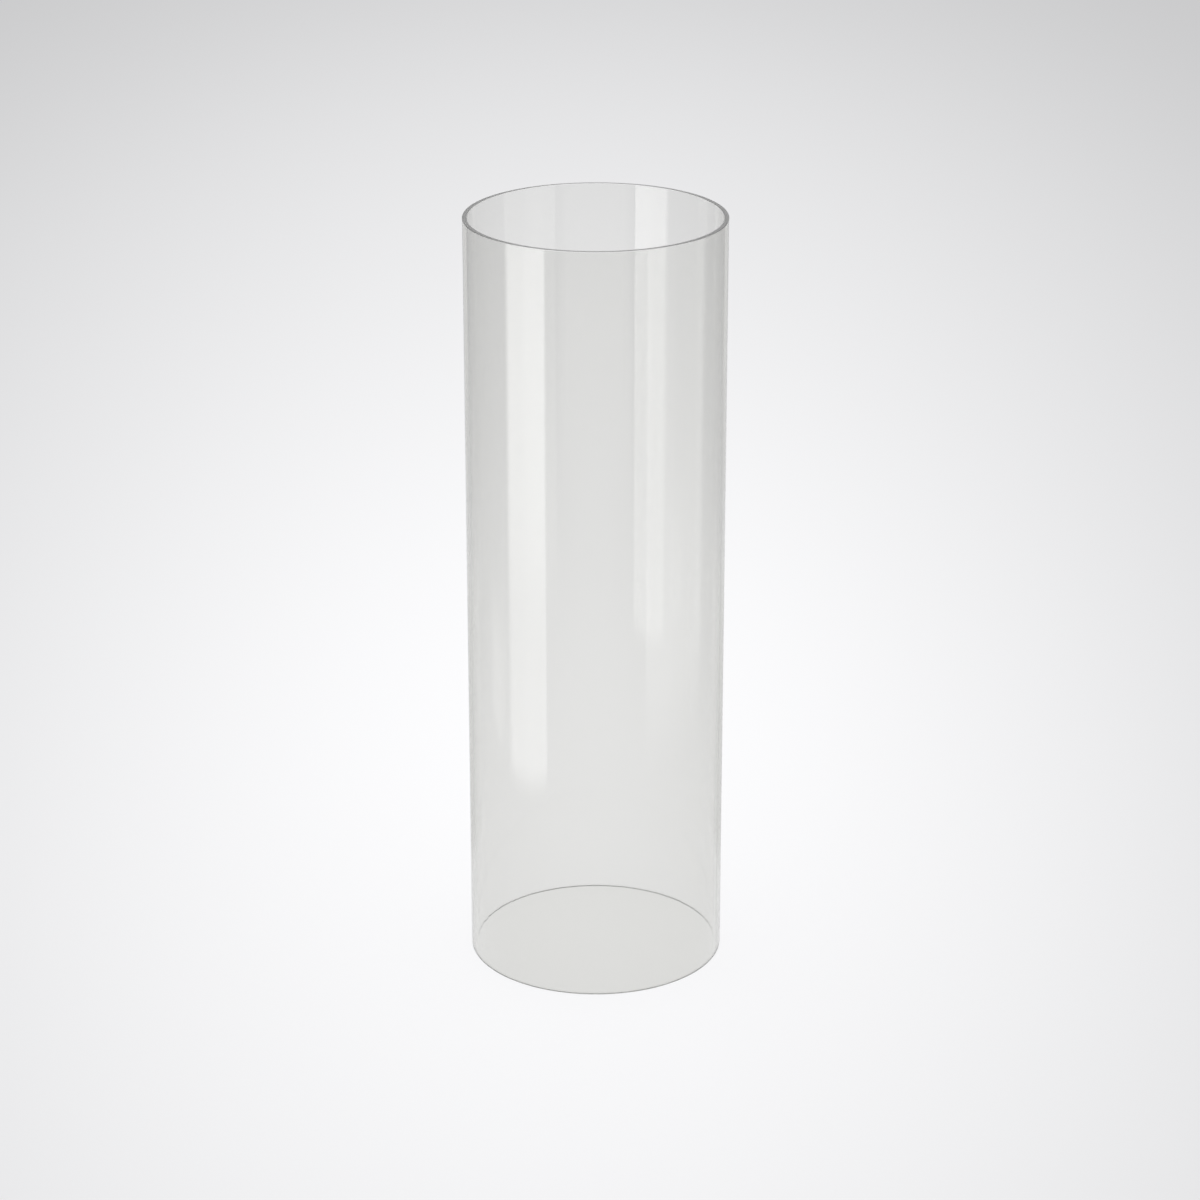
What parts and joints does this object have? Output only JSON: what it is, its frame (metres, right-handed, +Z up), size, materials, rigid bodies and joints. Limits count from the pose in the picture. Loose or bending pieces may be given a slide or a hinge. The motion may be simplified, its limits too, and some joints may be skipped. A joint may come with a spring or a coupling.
{
  "type": "guitar slide",
  "caption": "Straight clear glass tube, open at both ends with lightly eased rims, worn over a finger and slid along guitar strings.",
  "frame": {"origin": "centre of the lower end, on the plane that the tube stands on", "axes": "+Z up along the tube's axis; X and Y are alike, because the tube is round"},
  "size_m": [0.023, 0.023, 0.069],
  "materials": {
    "clear_glass": "polished, clear and colourless, with faintly satin cut ends"
  },
  "bodies": {
    "root": {"glass_tube": "clear_glass"}
  },
  "joints": []
}
